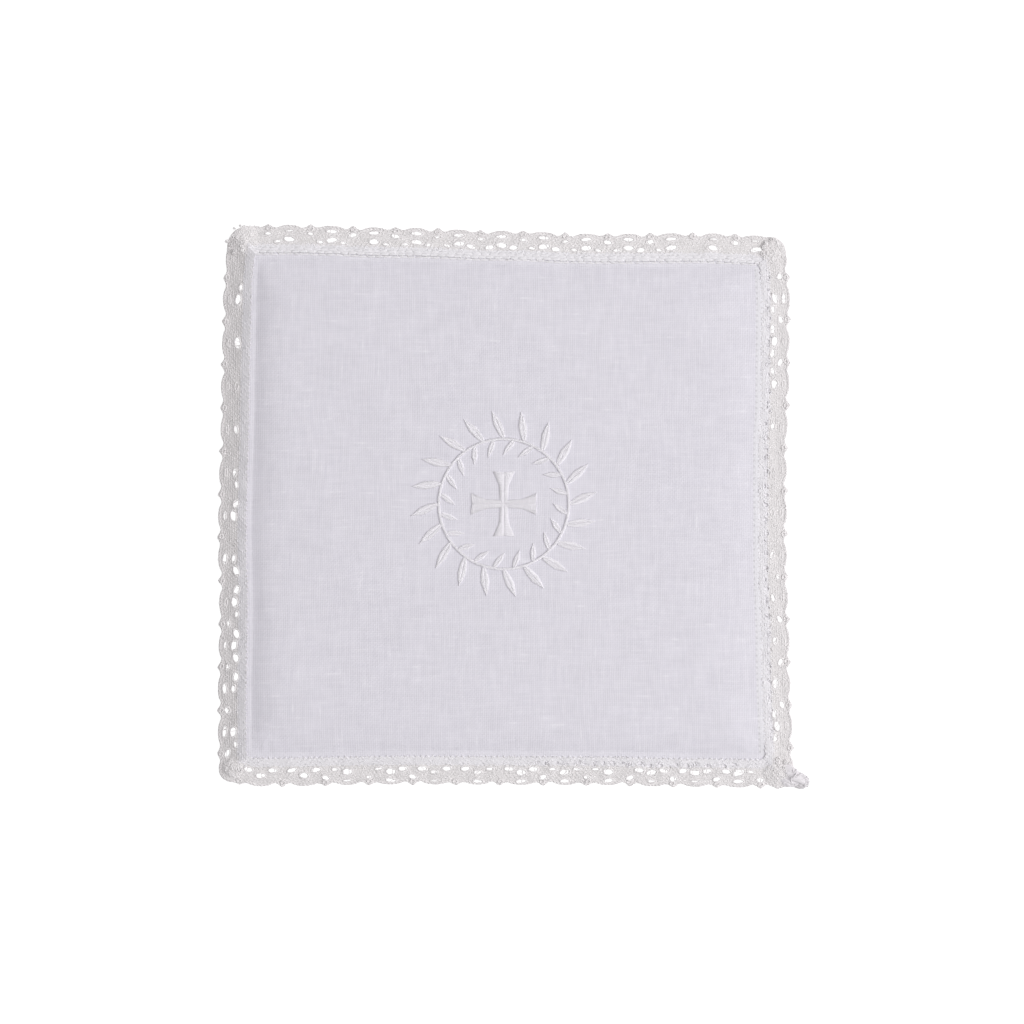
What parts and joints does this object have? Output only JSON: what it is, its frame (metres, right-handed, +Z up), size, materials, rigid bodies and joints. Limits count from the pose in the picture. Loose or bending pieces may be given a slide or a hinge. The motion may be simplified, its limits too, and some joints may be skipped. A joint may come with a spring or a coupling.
{
  "type": "chalice pall",
  "caption": "Flat square altar cloth of stiffened white linen with a crochet lace edging, which covers a chalice.",
  "frame": {"origin": "middle of the linen panel's flat underside, which lies on the surface", "axes": "+Z up out of the embroidered face; +Y towards the top edge as seen from above, +X to the right, and the lace's bunched ends lie at the +X -Y corner"},
  "size_m": [0.1741, 0.1674, 0.003],
  "materials": {
    "linen": "matt white plain weave linen with slubs, white satin stitch embroidery",
    "lace": "matt off-white cotton crochet, slightly fuzzy"
  },
  "bodies": {
    "root": {"linen_panel": "linen", "lace_edging": "lace"}
  },
  "joints": []
}
